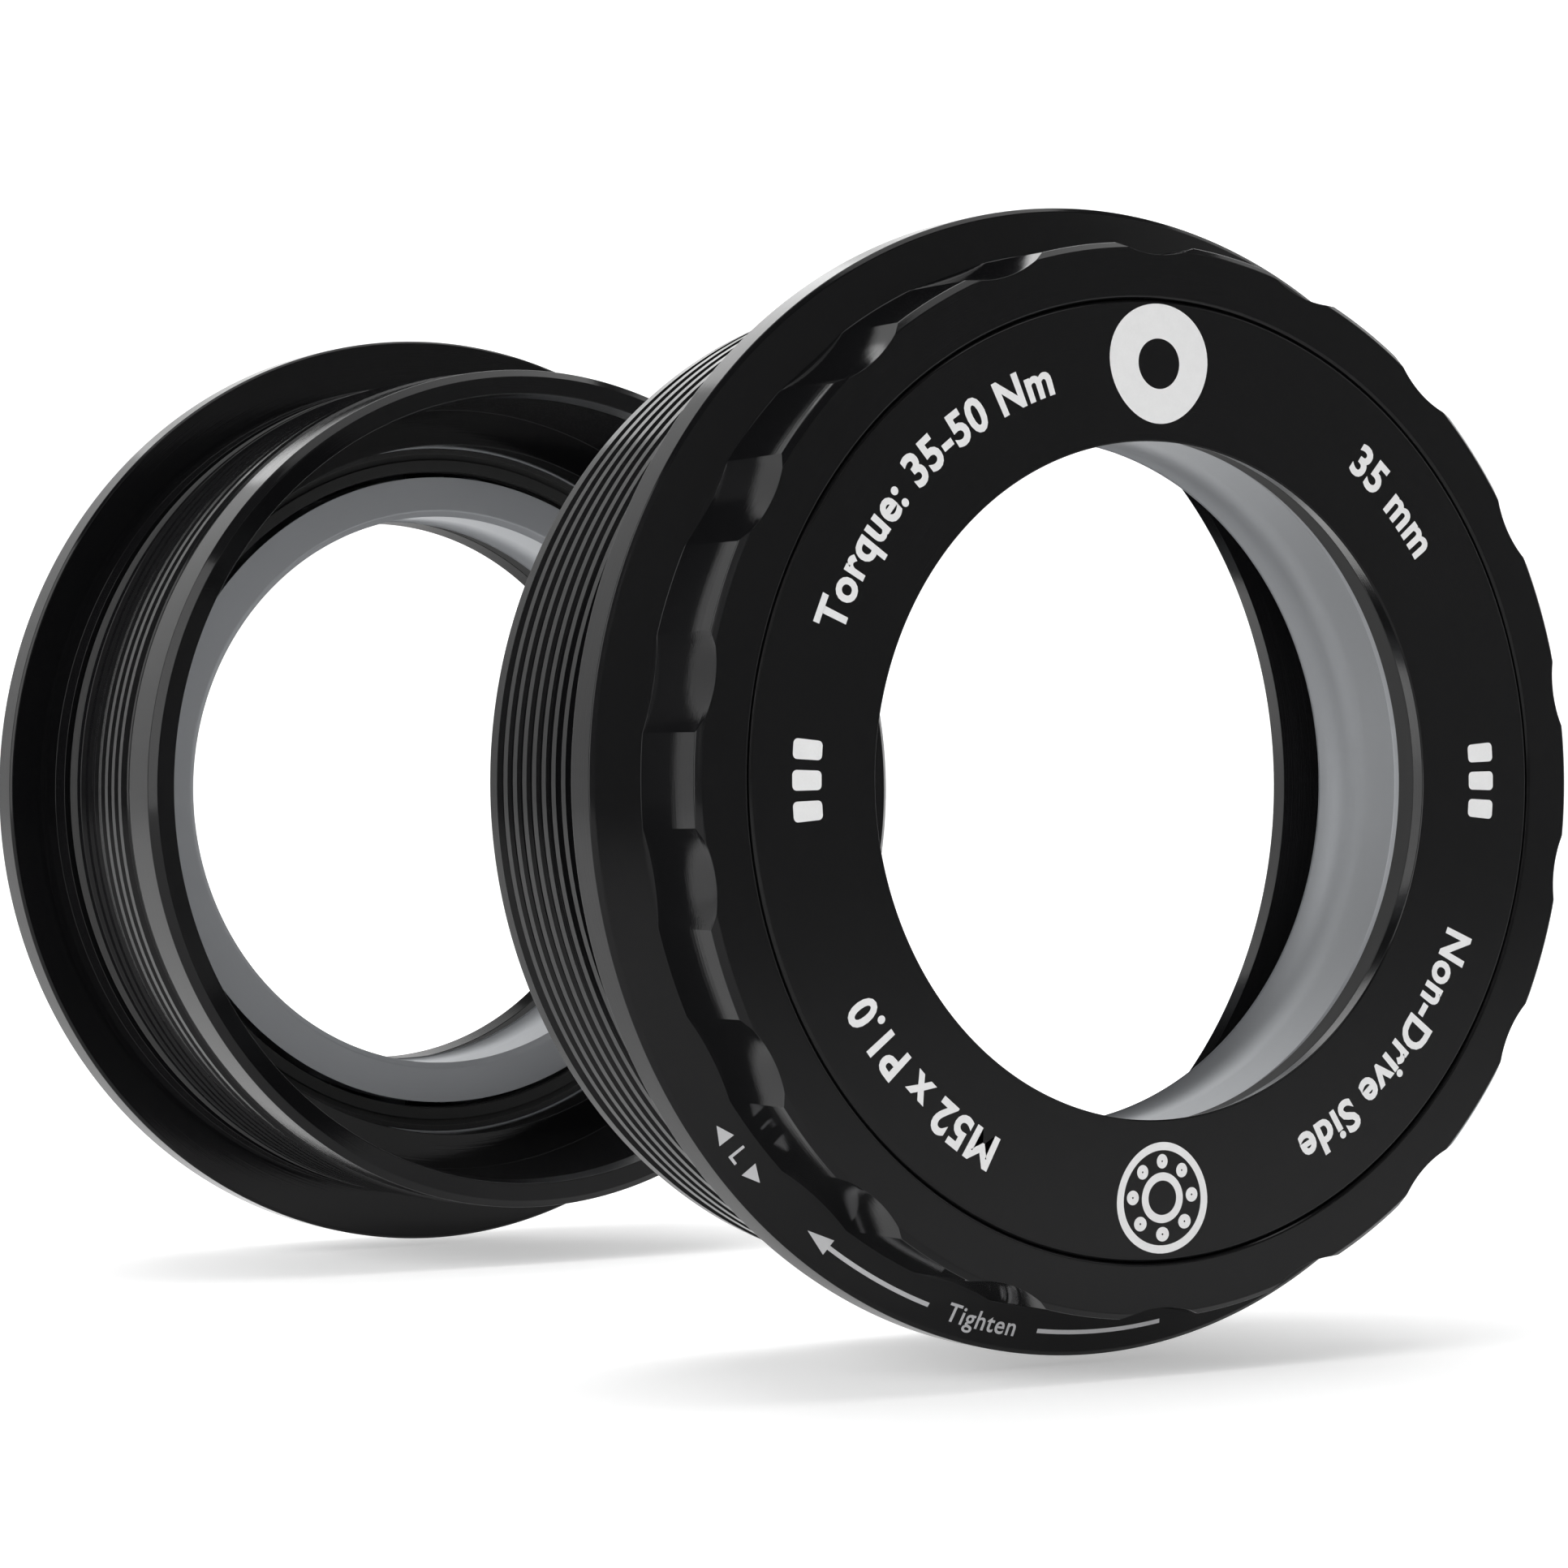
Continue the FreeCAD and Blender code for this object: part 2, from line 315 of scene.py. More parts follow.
def ground_steel(name, tone, roughness=0.58):
    """Ground bearing steel, brushed round the axis."""
    finish = Finish(name)
    radius, along, angle = finish.cylinder_place()
    lines = finish.noise(1.0, 3.0, finish.join(radius * 21000.0, along * 21000.0, angle * 3.0))
    cloud = finish.noise(220.0, 3.0)
    return finish.surface({
        "Base Color": finish.tint(lines * 0.5 + cloud * 0.5, shade(tone, 0.88), shade(tone, 1.08)),
        "Metallic": 0.85,
        "Roughness": lines * 0.10 + cloud * 0.06 + (roughness - 0.08),
        "Normal": finish.bump(lines, 0.000003),
    })


def black_rubber(name, tone, roughness):
    """Moulded rubber with a fine uneven skin."""
    finish = Finish(name)
    skin = finish.noise(7000.0, 3.0)
    cloud = finish.noise(400.0, 2.0)
    return finish.surface({
        "Base Color": finish.tint(cloud, shade(tone, 0.75), shade(tone, 1.35)),
        "Roughness": skin * 0.2 + (roughness - 0.1),
        "Normal": finish.bump(skin, 0.000008),
    })


def printed_ink(name, tone):
    """Pad-printed ink, with the pinholes and uneven cover of a thin coat."""
    finish = Finish(name)
    speck = finish.noise(9000.0, 2.0)
    cover = finish.noise(1500.0, 2.0)
    return finish.surface({
        "Base Color": finish.tint(cover * 0.6 + speck * 0.4, shade(tone, 0.93), shade(tone, 1.07)),
        "Roughness": speck * 0.2 + 0.42,
        "Normal": finish.bump(speck, 0.000003),
    })


def moulded_plastic(name, tone):
    """Plain moulded plastic."""
    finish = Finish(name)
    flow = finish.noise(800.0, 3.0)
    return finish.surface({
        "Base Color": finish.tint(flow, shade(tone, 0.9), shade(tone, 1.1)),
        "Roughness": flow * 0.15 + 0.4,
        "Normal": finish.bump(flow, 0.00001),
    })


def finishes():
    """Every finish of the object, made once."""
    if "anodised_black" not in bpy.data.materials:
        tones = bpy.context.scene.bracket_finish
        anodised_black("anodised_black", tones.anodised, tones.gloss)
        anodised_black("cap_black", tones.cap, tones.gloss + 0.04)
        ground_steel("ground_steel", tones.steel)
        ground_steel("polished_ball", shade(tones.steel, 1.15), 0.16)
        printed_ink("white_print", tones.print_white)
        printed_ink("etched_mark", tones.etched)
        black_rubber("o_ring_rubber", tones.rubber, 0.42)
        black_rubber("seal_rubber", tones.rubber, 0.5)
        moulded_plastic("cage_plastic", tones.cage)
    return bpy.data.materials


# ---- making meshes --------------------------------------------------------------------------

def softened(corners, radius=0.06 * MM, steps=4):
    """A closed outline with each corner rounded, and a support point beside each round."""
    outline = []
    count = len(corners)
    for index, corner in enumerate(corners):
        here = Vector(corner)
        before = Vector(corners[index - 1]) - here
        after = Vector(corners[(index + 1) % count]) - here
        cut = min(radius, before.length * 0.3, after.length * 0.3)
        first = here + before.normalized() * cut
        last = here + after.normalized() * cut
        outline.append(tuple(here + before.normalized() * cut * 1.35))
        for step in range(steps + 1):
            t = step / steps
            outline.append(tuple(first * (1 - t) ** 2 + here * 2 * t * (1 - t) + last * t ** 2))
        outline.append(tuple(here + after.normalized() * cut * 1.35))
    return outline


def place(side, station, radius, angle):
    """A point on one side from its station, its radius and its angle round the axis."""
    across = radius * math.cos(angle)
    up = radius * math.sin(angle)
    return Vector((across, sign_of(side) * (OUTER_FACE - station), up))


def mesh_piece(name, points, faces, material, sharp_degrees=None):
    """A smooth-shaded object with its faces turned outwards."""
    mesh = bpy.data.meshes.new(name)
    mesh.from_pydata(points, [], faces)
    shell = bmesh.new()
    shell.from_mesh(mesh)
    bmesh.ops.recalc_face_normals(shell, faces=shell.faces)
    shell.to_mesh(mesh)
    shell.free()
    mesh.shade_smooth()
    if sharp_degrees:
        mesh.set_sharp_from_angle(angle=math.radians(sharp_degrees))
    mesh.materials.append(finishes()[material])
    piece = bpy.data.objects.new(name, mesh)
    bpy.context.scene.collection.objects.link(piece)
    return piece


def ring_faces(rows, columns):
    """Faces of a closed outline carried right round the axis."""
    faces = []
    for row in range(rows):
        below = (row + 1) % rows
        for column in range(columns):
            beside = (column + 1) % columns
            faces.append((row * columns + column, row * columns + beside,
                          below * columns + beside, below * columns + column))
    return faces


def lathe(name, side, outline, material, columns=288):
    """A solid of revolution about the spindle axis."""
    angles = [2 * math.pi * index / columns for index in range(columns)]
    points = [place(side, station, radius, angle) for station, radius in outline for angle in angles]
    return mesh_piece(name, points, ring_faces(len(outline), columns), material)


def fasten(piece, side, body, slot, *nodes):
    """Ride a piece on its body and hide the nodes it stands for; slot is not used."""
    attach(piece, side + "_" + body)
    if nodes:
        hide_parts(*[side + "_" + node for node in nodes])


# ---- cup ------------------------------------------------------------------------------------

def scoop_radius(cup, depth):
    """Radius of the round scoop that leaves a notch of the stated width at a depth."""
    half = cup.notch_width / 2
    rise = depth - cup.ring_radius + math.sqrt(cup.ring_radius ** 2 - half ** 2)
    return (half ** 2 + rise ** 2) / (2 * rise)


def notch_floor(cup, station, turn):
    """Radius of a notch's surface at a station and an angle from the notch's middle."""
    share = station / cup.ring_length
    face, root = scoop_radius(cup, cup.notch_face_depth), scoop_radius(cup, cup.notch_root_depth)
    scoop = face + (root - face) * share
    depth = cup.notch_face_depth + (cup.notch_root_depth - cup.notch_face_depth) * share
    middle = cup.ring_radius - depth + scoop
    inside = scoop ** 2 - (middle * math.sin(turn)) ** 2
    return middle * math.cos(turn) - math.sqrt(max(0.0, inside))


def notch_edge(cup, station, radius):
    """Angle from a notch's middle to where its surface meets a radius."""
    low, high = 0.0, math.pi / cup.notch_count
    if notch_floor(cup, station, low) >= radius:
        return math.asin(cup.notch_width / 2 / cup.ring_radius)
    for _ in range(40):
        middle = (low + high) / 2
        if notch_floor(cup, station, middle) < radius:
            low = middle
        else:
            high = middle
    return min(low, math.pi / cup.notch_count * 0.9)


def cup_outline(cup, thread_end):
    """Corners of a cup, with a plain cylinder where its thread stands."""
    rim = FLANGE_RADIUS
    bevel = cup.flange_bevel
    chamfer = cup.face_chamfer
    groove_start = SEAT_DEPTH + cup.neck
    groove_end = groove_start + cup.groove_width
    root = cup.thread_radius - cup.thread_depth
    thread_start = groove_end + cup.land
    shoulder_end = BEARING_END + SHOULDER_WALL
    return [
        (0.0, cup.ring_radius - chamfer),
        (chamfer, cup.ring_radius),
        (cup.ring_length, cup.ring_radius),
        (cup.ring_length + cup.flange_rise, rim - bevel * 1.1),
        (cup.ring_length + cup.flange_rise + bevel, rim),
        (SEAT_DEPTH - bevel * 0.7, rim),
        (SEAT_DEPTH, rim - bevel * 0.7),
        (SEAT_DEPTH, cup.thread_radius),
        (groove_start, cup.thread_radius),
        (groove_start, cup.groove_radius),
        (groove_end, cup.groove_radius),
        (groove_end, cup.thread_radius),
        (thread_start, cup.thread_radius),
        (thread_start + THREAD_RUNOUT, root),
        (thread_end - THREAD_RUNOUT, root),
        (thread_end, cup.thread_radius),
        (thread_end + COLLAR_STEP, cup.collar_radius),
        (CUP_LENGTH - cup.collar_bevel, cup.collar_radius),
        (CUP_LENGTH, cup.collar_radius - cup.collar_bevel),
        (CUP_LENGTH, cup.bore_radius + BORE_FLARE),
        (CUP_LENGTH - BORE_FLARE_LENGTH, cup.bore_radius),
        (shoulder_end, cup.bore_radius),
        (shoulder_end, cup.shoulder_radius),
        (BEARING_END, cup.shoulder_radius),
        (BEARING_END, cup.bearing_radius),
        (cup.cap_seat_depth, cup.bearing_radius),
        (cup.cap_seat_depth, cup.cap_seat_radius),
        (CAP_SEAT_BREAK, cup.cap_seat_radius),
        (0.0, cup.cap_seat_radius + CAP_SEAT_BREAK),
    ]


def thread_span(side, cup):
    """Stations where the thread starts and ends."""
    start = SEAT_DEPTH + cup.neck + cup.groove_width + cup.land
    turns = int((CUP_LENGTH - COLLAR_LENGTH[side] - start) / cup.thread_pitch + 0.001)
    return start, start + turns * cup.thread_pitch, turns


def cup_body(side, cup):
    """The cup with its scooped notches, each notch's edge kept crisp."""
    thread_end = thread_span(side, cup)[1]
    outline = softened(cup_outline(cup, thread_end), 0.045 * MM)
    face_edge = cup.ring_radius - cup.face_chamfer
    pitch = 2 * math.pi / cup.notch_count
    lands, scoops = 8, 12
    points = []
    for station, radius in outline:
        on_ring = station <= cup.ring_length + 0.001 * MM and radius > cup.cap_seat_radius + 1 * MM
        inset = max(0.0, face_edge - radius)
        edge = math.asin(cup.notch_width / 2 / cup.ring_radius)
        if on_ring:
            edge = notch_edge(cup, station, radius + inset)
        for notch in range(cup.notch_count):
            middle = (notch + 0.5) * pitch
            for step in range(scoops):
                turn = -edge + 2 * edge * step / scoops
                floor = notch_floor(cup, station, turn) - inset
                points.append(place(side, station, min(radius, floor) if on_ring else radius,
                                    middle + turn))
            for step in range(lands):
                turn = edge + (pitch - 2 * edge) * step / lands
                points.append(place(side, station, radius, middle + turn))
    columns = cup.notch_count * (lands + scoops)
    piece = mesh_piece(side + "_cup_body", points, ring_faces(len(outline), columns), "anodised_black")
    crease_notches(piece.data, columns, scoops, lands + scoops, cup, outline)
    return piece


def crease_notches(mesh, columns, scoops, span, cup, outline):
    """Mark the long edges of every notch sharp."""
    sharp = mesh.attributes.new("sharp_edge", "BOOLEAN", "EDGE")
    lowest = cup.ring_radius - cup.face_chamfer - 0.01 * MM
    on_ring = [station < cup.ring_length and radius > lowest for station, radius in outline]
    for edge in mesh.edges:
        first, second = edge.vertices
        column = first % columns
        if column != second % columns or column % span not in (0, scoops):
            continue
        if on_ring[first // columns] and on_ring[second // columns]:
            sharp.data[edge.index].value = True


# ---- geometry node trees --------------------------------------------------------------------

class Tree:
    """A Geometry Nodes tree with named inputs."""

    def __init__(self, name):
        self.tree = bpy.data.node_groups.new(name, "GeometryNodeTree")
        self.tree.interface.new_socket("Geometry", in_out="OUTPUT", socket_type="NodeSocketGeometry")
        self.inputs = {}

    def input(self, name, kind, value):
        """A named input and its value for the modifier."""
        socket = self.tree.interface.new_socket(name, in_out="INPUT", socket_type="NodeSocket" + kind)
        self.inputs[socket.identifier] = value
        return socket

    def start(self):
        """The node that gives the inputs."""
        self.group = self.tree.nodes.new("NodeGroupInput")
        return self.group.outputs

    def node(self, kind, settings=None, sockets=None):
        """A node of this tree."""
        return add_node(self.tree, kind, settings, sockets)

    def piece(self, name, geometry, sharp_degrees=30.0):
        """Realize, give the material and turn the result into a plain mesh object."""
        real = self.node("GeometryNodeRealizeInstances", {}, {0: geometry})
        painted = self.node("GeometryNodeSetMaterial", {}, {
            0: real.outputs[0], "Material": self.group.outputs["Material"]})
        self.tree.links.new(painted.outputs[0], self.node("NodeGroupOutput").inputs[0])
        holder = bpy.data.objects.new(name + "_source", bpy.data.meshes.new(name + "_source"))
        bpy.context.scene.collection.objects.link(holder)
        modifier = holder.modifiers.new(name, "NODES")
        modifier.node_group = self.tree
        for identifier, value in self.inputs.items():
            modifier[identifier] = value
        seen = holder.evaluated_get(bpy.context.evaluated_depsgraph_get())
        mesh = bpy.data.meshes.new_from_object(seen)
        holder.modifiers.clear()
        bpy.data.objects.remove(holder)
        mesh.name = name
        mesh.shade_smooth()
        mesh.set_sharp_from_angle(angle=math.radians(sharp_degrees))
        made = bpy.data.objects.new(name, mesh)
        bpy.context.scene.collection.objects.link(made)
        return made


def thread_ridge(side, cup):
    """The thread as one helical ridge, right-handed at -Y and left-handed at +Y."""
    start, _, turns = thread_span(side, cup)
    tree = Tree(side + "_thread_tree")
    tree.input("Material", "Material", finishes()["anodised_black"])
    tree.input("Turns", "Float", turns - 1.0)
    tree.input("Pitch", "Float", cup.thread_pitch)
    tree.input("Radius", "Float", cup.thread_radius - cup.thread_depth / 2)
    tree.input("Depth", "Float", cup.thread_depth + 0.04 * MM)
    tree.input("Crest", "Float", cup.thread_crest)
    given = tree.start()
    climb = tree.node("ShaderNodeMath", {"operation": "MULTIPLY"}, {0: given["Turns"], 1: given["Pitch"]})
    helix = tree.node("GeometryNodeCurveSpiral", {}, {
        "Resolution": 180, "Rotations": given["Turns"], "Start Radius": given["Radius"],
        "End Radius": given["Radius"], "Height": climb.outputs[0], "Reverse": side == "non_drive"})
    upright = tree.node("GeometryNodeSetCurveNormal", {"mode": "Z_UP"}, {0: helix.outputs[0]})
    tooth = tree.node("GeometryNodeCurvePrimitiveQuadrilateral", {"mode": "TRAPEZOID"}, {
        "Height": given["Depth"], "Bottom Width": given["Pitch"], "Top Width": given["Crest"],
        "Offset": 0.0})
    turned = tree.node("GeometryNodeTransform", {}, {
        0: tooth.outputs[0], "Rotation": (0.0, 0.0, sign_of(side) * math.pi / 2)})
    ridge = tree.node("GeometryNodeCurveToMesh", {}, {
        0: upright.outputs[0], 1: turned.outputs[0], "Fill Caps": True})
    piece = tree.piece(side + "_thread", ridge.outputs[0])
    sign = sign_of(side)
    move = Matrix.Translation((0, sign * (OUTER_FACE - start - cup.thread_pitch / 2), 0))
    piece.data.transform(move @ Matrix.Rotation(sign * math.pi / 2, 4, "X"))
    return piece


def ball_ring(side, bearing):
    """The balls of one bearing."""
    tree = Tree(side + "_balls_tree")
    tree.input("Material", "Material", finishes()["polished_ball"])
    tree.input("Balls", "Int", bearing.ball_count)
    tree.input("Ball Radius", "Float", bearing.ball_radius)
    tree.input("Pitch Radius", "Float", bearing.pitch_radius)
    given = tree.start()
    circle = tree.node("GeometryNodeMeshCircle", {}, {
        "Vertices": given["Balls"], "Radius": given["Pitch Radius"]})
    ball = tree.node("GeometryNodeMeshUVSphere", {}, {
        "Segments": 32, "Rings": 20, "Radius": given["Ball Radius"]})
    spread = tree.node("GeometryNodeInstanceOnPoints", {}, {
        "Points": circle.outputs[0], "Instance": ball.outputs[0]})
    piece = tree.piece(side + "_balls", spread.outputs[0], 180.0)
    move = Matrix.Translation((0, sign_of(side) * (OUTER_FACE - BEARING_MIDDLE), 0))
    piece.data.transform(move @ Matrix.Rotation(math.pi / 2, 4, "X"))
    return piece


# ---- cap, bearing and seals -----------------------------------------------------------------

def cap_lip(side, bearing):
    """Radius of the cap's bore on one side."""
    return bearing.cap_lip if side == "non_drive" else bearing.cap_lip_drive


def cap_body(side, bearing):
    """The dust cap: plate, bevelled edge, and a skirt grooved for its O-ring."""
    lip = cap_lip(side, bearing)
    edge = bearing.cap_radius
    groove_start, groove_end = CAP_GROOVE
    return lathe(side + "_dust_cap_body", side, softened([
        (0.0, lip + 0.05 * MM),
        (0.0, edge - CAP_BEVEL),
        (CAP_BEVEL, edge),
        (groove_start, edge),
        (groove_start, edge - CAP_GROOVE_DEPTH),
        (groove_end, edge - CAP_GROOVE_DEPTH),
        (groove_end, edge),
        (CAP_DEPTH, edge),
        (CAP_DEPTH, edge - bearing.cap_skirt),
        (bearing.cap_plate, edge - bearing.cap_skirt),
        (bearing.cap_plate, lip + LIP_FLARE),
        (0.08 * MM, lip),
    ], 0.05 * MM), "cap_black")


def lip_seal(side, bearing):
    """The rubber ring behind the cap's bore."""
    lip = cap_lip(side, bearing) + LIP_FLARE
    back = bearing.cap_plate + SPINDLE_SEAL_LENGTH
    return lathe(side + "_spindle_seal_body", side, softened([
        (bearing.cap_plate, lip),
        (bearing.cap_plate, lip + SPINDLE_SEAL_WALL),
        (back, lip + SPINDLE_SEAL_WALL),
        (back, lip + LIP_FLARE),
    ], 0.1 * MM), "seal_rubber")


def inner_ring(side, bearing):
    """The bearing's inner ring, with its ball groove."""
    bore, land = bearing.bore_radius, bearing.inner_land
    reach = bearing.ball_radius + BALL_CLEARANCE
    half = math.acos((bearing.pitch_radius - land) / reach)
    groove = []
    for step in range(13):
        turn = -half + 2 * half * step / 12
        groove.append((BEARING_MIDDLE + reach * math.sin(turn),
                       bearing.pitch_radius - reach * math.cos(turn)))
    outline = softened([(BEARING_DEPTH + RING_CORNER, bore), (BEARING_DEPTH, bore + RING_CORNER),
                        (BEARING_DEPTH, land)], 0.08 * MM)[:-1]
    outline = [point for point in outline if point[0] < BEARING_MIDDLE]
    back = [(2 * BEARING_MIDDLE - station, radius) for station, radius in reversed(outline)]
    return lathe(side + "_inner_ring_body", side, outline + groove + back, "ground_steel")


def bearing_seal(side, facing, bearing):
    """One bearing seal: a thin web with a raised rib and rim."""
    half = (BEARING_END - BEARING_DEPTH) / 2
    face = BEARING_MIDDLE + facing * (half - SEAL_RECESS)
    web = face - facing * SEAL_RIB
    back = web - facing * SEAL_WEB
    inner, outer = bearing.seal_inner, bearing.seal_outer
    rib_start, rib_end = SEAL_RIB_INNER
    name = side + ("_outboard_seal_body" if facing < 0 else "_inboard_seal_body")
    return lathe(name, side, softened([
        (back, inner),
        (web, inner),
        (web, inner + rib_start),
        (face, inner + rib_start),
        (face, inner + rib_end),
        (web, inner + rib_end),
        (web, outer - SEAL_RIM_WALL),
        (face, outer - SEAL_RIM_WALL),
        (face, outer),
        (back, outer),
    ], 0.05 * MM), "seal_rubber")


def shell_ring(side, cup):
    """The O-ring in the groove behind the neck."""
    section = SHELL_O_RING_RADIUS
    station = SEAT_DEPTH + cup.neck + cup.groove_width / 2
    middle = cup.groove_radius + O_RING_CLEARANCE + section
    outline = []
    for step in range(20):
        turn = 2 * math.pi * step / 20
        outline.append((station + section * math.cos(turn), middle + section * math.sin(turn)))
    return lathe(side + "_shell_o_ring_body", side, outline, "o_ring_rubber")


# ---- print and marks ------------------------------------------------------------------------

INK = 0.012 * MM
CAP_PRINT_RADIUS = 20.6 * MM
CAP_PRINT_HEIGHT = 1.62 * MM
CAP_PRINT_WEIGHT = 0.075 * MM    # the strokes are this much heavier all round
PRINT_SQUEEZE = 0.95
CAPITAL_SHARE = 0.69             # of the letters' size
SIGN_DEGREES = 270.0             # the bearing sign's place on the cap
FLANGE_MARK_RADIUS = 27.72 * MM
ETCHED_WEIGHT = 0.015 * MM
ETCHED_LINE = 0.22 * MM


def flat_text(words, height, weight=0.0, squeeze=1.0):
    """Words as a thin closed mesh, centred, lying in X and Y."""
    curve = bpy.data.curves.new("words", "FONT")
    curve.body = words
    curve.size = height / CAPITAL_SHARE
    curve.align_x = "CENTER"
    curve.align_y = "CENTER"
    curve.offset = weight
    curve.extrude = INK / 2
    curve.resolution_u = 4
    curve.space_character = 1.08
    holder = bpy.data.objects.new("words", curve)
    bpy.context.scene.collection.objects.link(holder)
    bpy.context.view_layer.update()
    mesh = bpy.data.meshes.new_from_object(holder.evaluated_get(bpy.context.evaluated_depsgraph_get()))
    bpy.data.objects.remove(holder)
    mesh.transform(Matrix.Diagonal((squeeze, 1.0, 1.0, 1.0)))
    return mesh


def bar_shape(wide, tall, steps=24):
    """A thin closed bar, centred, cut into short lengths so that it can bend."""
    shell = bmesh.new()
    columns = []
    for step in range(steps + 1):
        across = wide * (step / steps - 0.5)
        columns.append([shell.verts.new((across, up, out)) for up, out in (
            (-tall / 2, -INK / 2), (tall / 2, -INK / 2), (tall / 2, INK / 2), (-tall / 2, INK / 2))])
    for first, second in zip(columns, columns[1:]):
        for corner in range(4):
            following = (corner + 1) % 4
            shell.faces.new((first[corner], first[following], second[following], second[corner]))
    shell.faces.new(columns[0])
    shell.faces.new(columns[-1][::-1])
    return closed(shell)


def plate_shape(corners):
    """A thin closed plate from the corners of its outline."""
    shell = bmesh.new()
    low = [shell.verts.new((across, up, -INK / 2)) for across, up in corners]
    high = [shell.verts.new((across, up, INK / 2)) for across, up in corners]
    shell.faces.new(low[::-1])
    shell.faces.new(high)
    for index in range(len(corners)):
        after = (index + 1) % len(corners)
        shell.faces.new((low[index], low[after], high[after], high[index]))
    return closed(shell)


def ring_shape(outer, inner, steps=64):
    """A thin closed ring, or a disc with a small hole."""
    shell = bmesh.new()
    loops = []
    for radius, out in ((inner, -INK / 2), (outer, -INK / 2), (outer, INK / 2), (inner, INK / 2)):
        turns = [2 * math.pi * step / steps for step in range(steps)]
        loops.append([shell.verts.new((radius * math.cos(t), radius * math.sin(t), out)) for t in turns])
    for first, second in zip(loops, loops[1:] + loops[:1]):
        for step in range(steps):
            after = (step + 1) % steps
            shell.faces.new((first[step], first[after], second[after], second[step]))
    return closed(shell)


def closed(shell):
    """A mesh from a closed bmesh, its faces turned outwards."""
    bmesh.ops.recalc_face_normals(shell, faces=shell.faces)
    mesh = bpy.data.meshes.new("mark")
    shell.to_mesh(mesh)
    shell.free()
    return mesh


def wrap(mesh, side, radius, degrees, surface, tops_out=True):
    """Bend a flat mark round the axis onto a surface that gives the station at a radius."""
    flip = 1 if tops_out else -1
    for vertex in mesh.vertices:
        across, up, out = vertex.co
        around = math.radians(degrees) - flip * across / radius
        away = radius + flip * up
        angle = around if side == "non_drive" else math.pi - around
        vertex.co = place(side, surface(away) - out, away, angle)
    return mesh


def joined(name, meshes, material):
    """One object from several wrapped marks."""
    shell = bmesh.new()
    for mesh in meshes:
        shell.from_mesh(mesh)
        bpy.data.meshes.remove(mesh)
    bmesh.ops.remove_doubles(shell, verts=shell.verts, dist=0.0005 * MM)
    bmesh.ops.recalc_face_normals(shell, faces=shell.faces)
    mesh = bpy.data.meshes.new(name)
    shell.to_mesh(mesh)
    shell.free()
    mesh.materials.clear()
    mesh.materials.append(finishes()[material])
    piece = bpy.data.objects.new(name, mesh)
    bpy.context.scene.collection.objects.link(piece)
    return piece


def on_cap(radius):
    """The cap's face is flat, at the outer face."""
    return 0.0


def cap_print(side):
    """White lettering and plain signs round the cap."""
    middle, tall = CAP_PRINT_RADIUS, CAP_PRINT_HEIGHT

    def printed(mesh, degrees):
        return wrap(mesh, side, middle, degrees, on_cap)

    def words(text, degrees):
        return printed(flat_text(text, tall, CAP_PRINT_WEIGHT, PRINT_SQUEEZE), degrees)

    marks = [words("Torque: 35-50 Nm", 133.9)]
    marks.append(words("Non-Drive Side" if side == "non_drive" else "Drive Side", -43.5))
    marks.append(words("M52 x P1.0", 225.8))
    for degrees in (180.0, 0.0):
        for shift in (-1.45, 0.0, 1.45):
            bar = plate_shape(rounded_box(0.95 * MM, tall))
            marks.append(printed(moved(bar, shift * MM, 0.0), degrees))
    marks.append(words("35 mm", 44.0))
    marks.append(printed(ring_shape(2.97 * MM, 1.25 * MM), 90.0))
    marks.extend(bearing_sign(side, middle))
    return joined(side + "_cap_print", marks, "white_print")


def rounded_box(wide, tall, steps=5):
    """Corners of a box with round corners."""
    round_off = min(wide, tall) * 0.25
    corners = []
    for quarter, (right, up) in enumerate(((1, 1), (-1, 1), (-1, -1), (1, -1))):
        for step in range(steps + 1):
            turn = math.pi / 2 * (quarter + step / steps)
            corners.append((right * (wide / 2 - round_off) + round_off * math.cos(turn),
                            up * (tall / 2 - round_off) + round_off * math.sin(turn)))
    return corners


def moved(mesh, across, up):
    """A flat mark shifted in its own plane."""
    mesh.transform(Matrix.Translation((across, up, 0.0)))
    return mesh


def bearing_sign(side, middle):
    """A plain sign for a ball bearing: two rings with dots between them."""
    marks = [wrap(ring_shape(2.75 * MM, 2.35 * MM), side, middle, SIGN_DEGREES, on_cap)]
    marks.append(wrap(ring_shape(1.25 * MM, 0.85 * MM), side, middle, SIGN_DEGREES, on_cap))
    for index in range(8):
        turn = math.pi / 4 * index
        dot = moved(ring_shape(0.36 * MM, 0.05 * MM, 20), 1.8 * MM * math.cos(turn),
                    1.8 * MM * math.sin(turn))
        marks.append(wrap(dot, side, middle, SIGN_DEGREES, on_cap))
    return marks


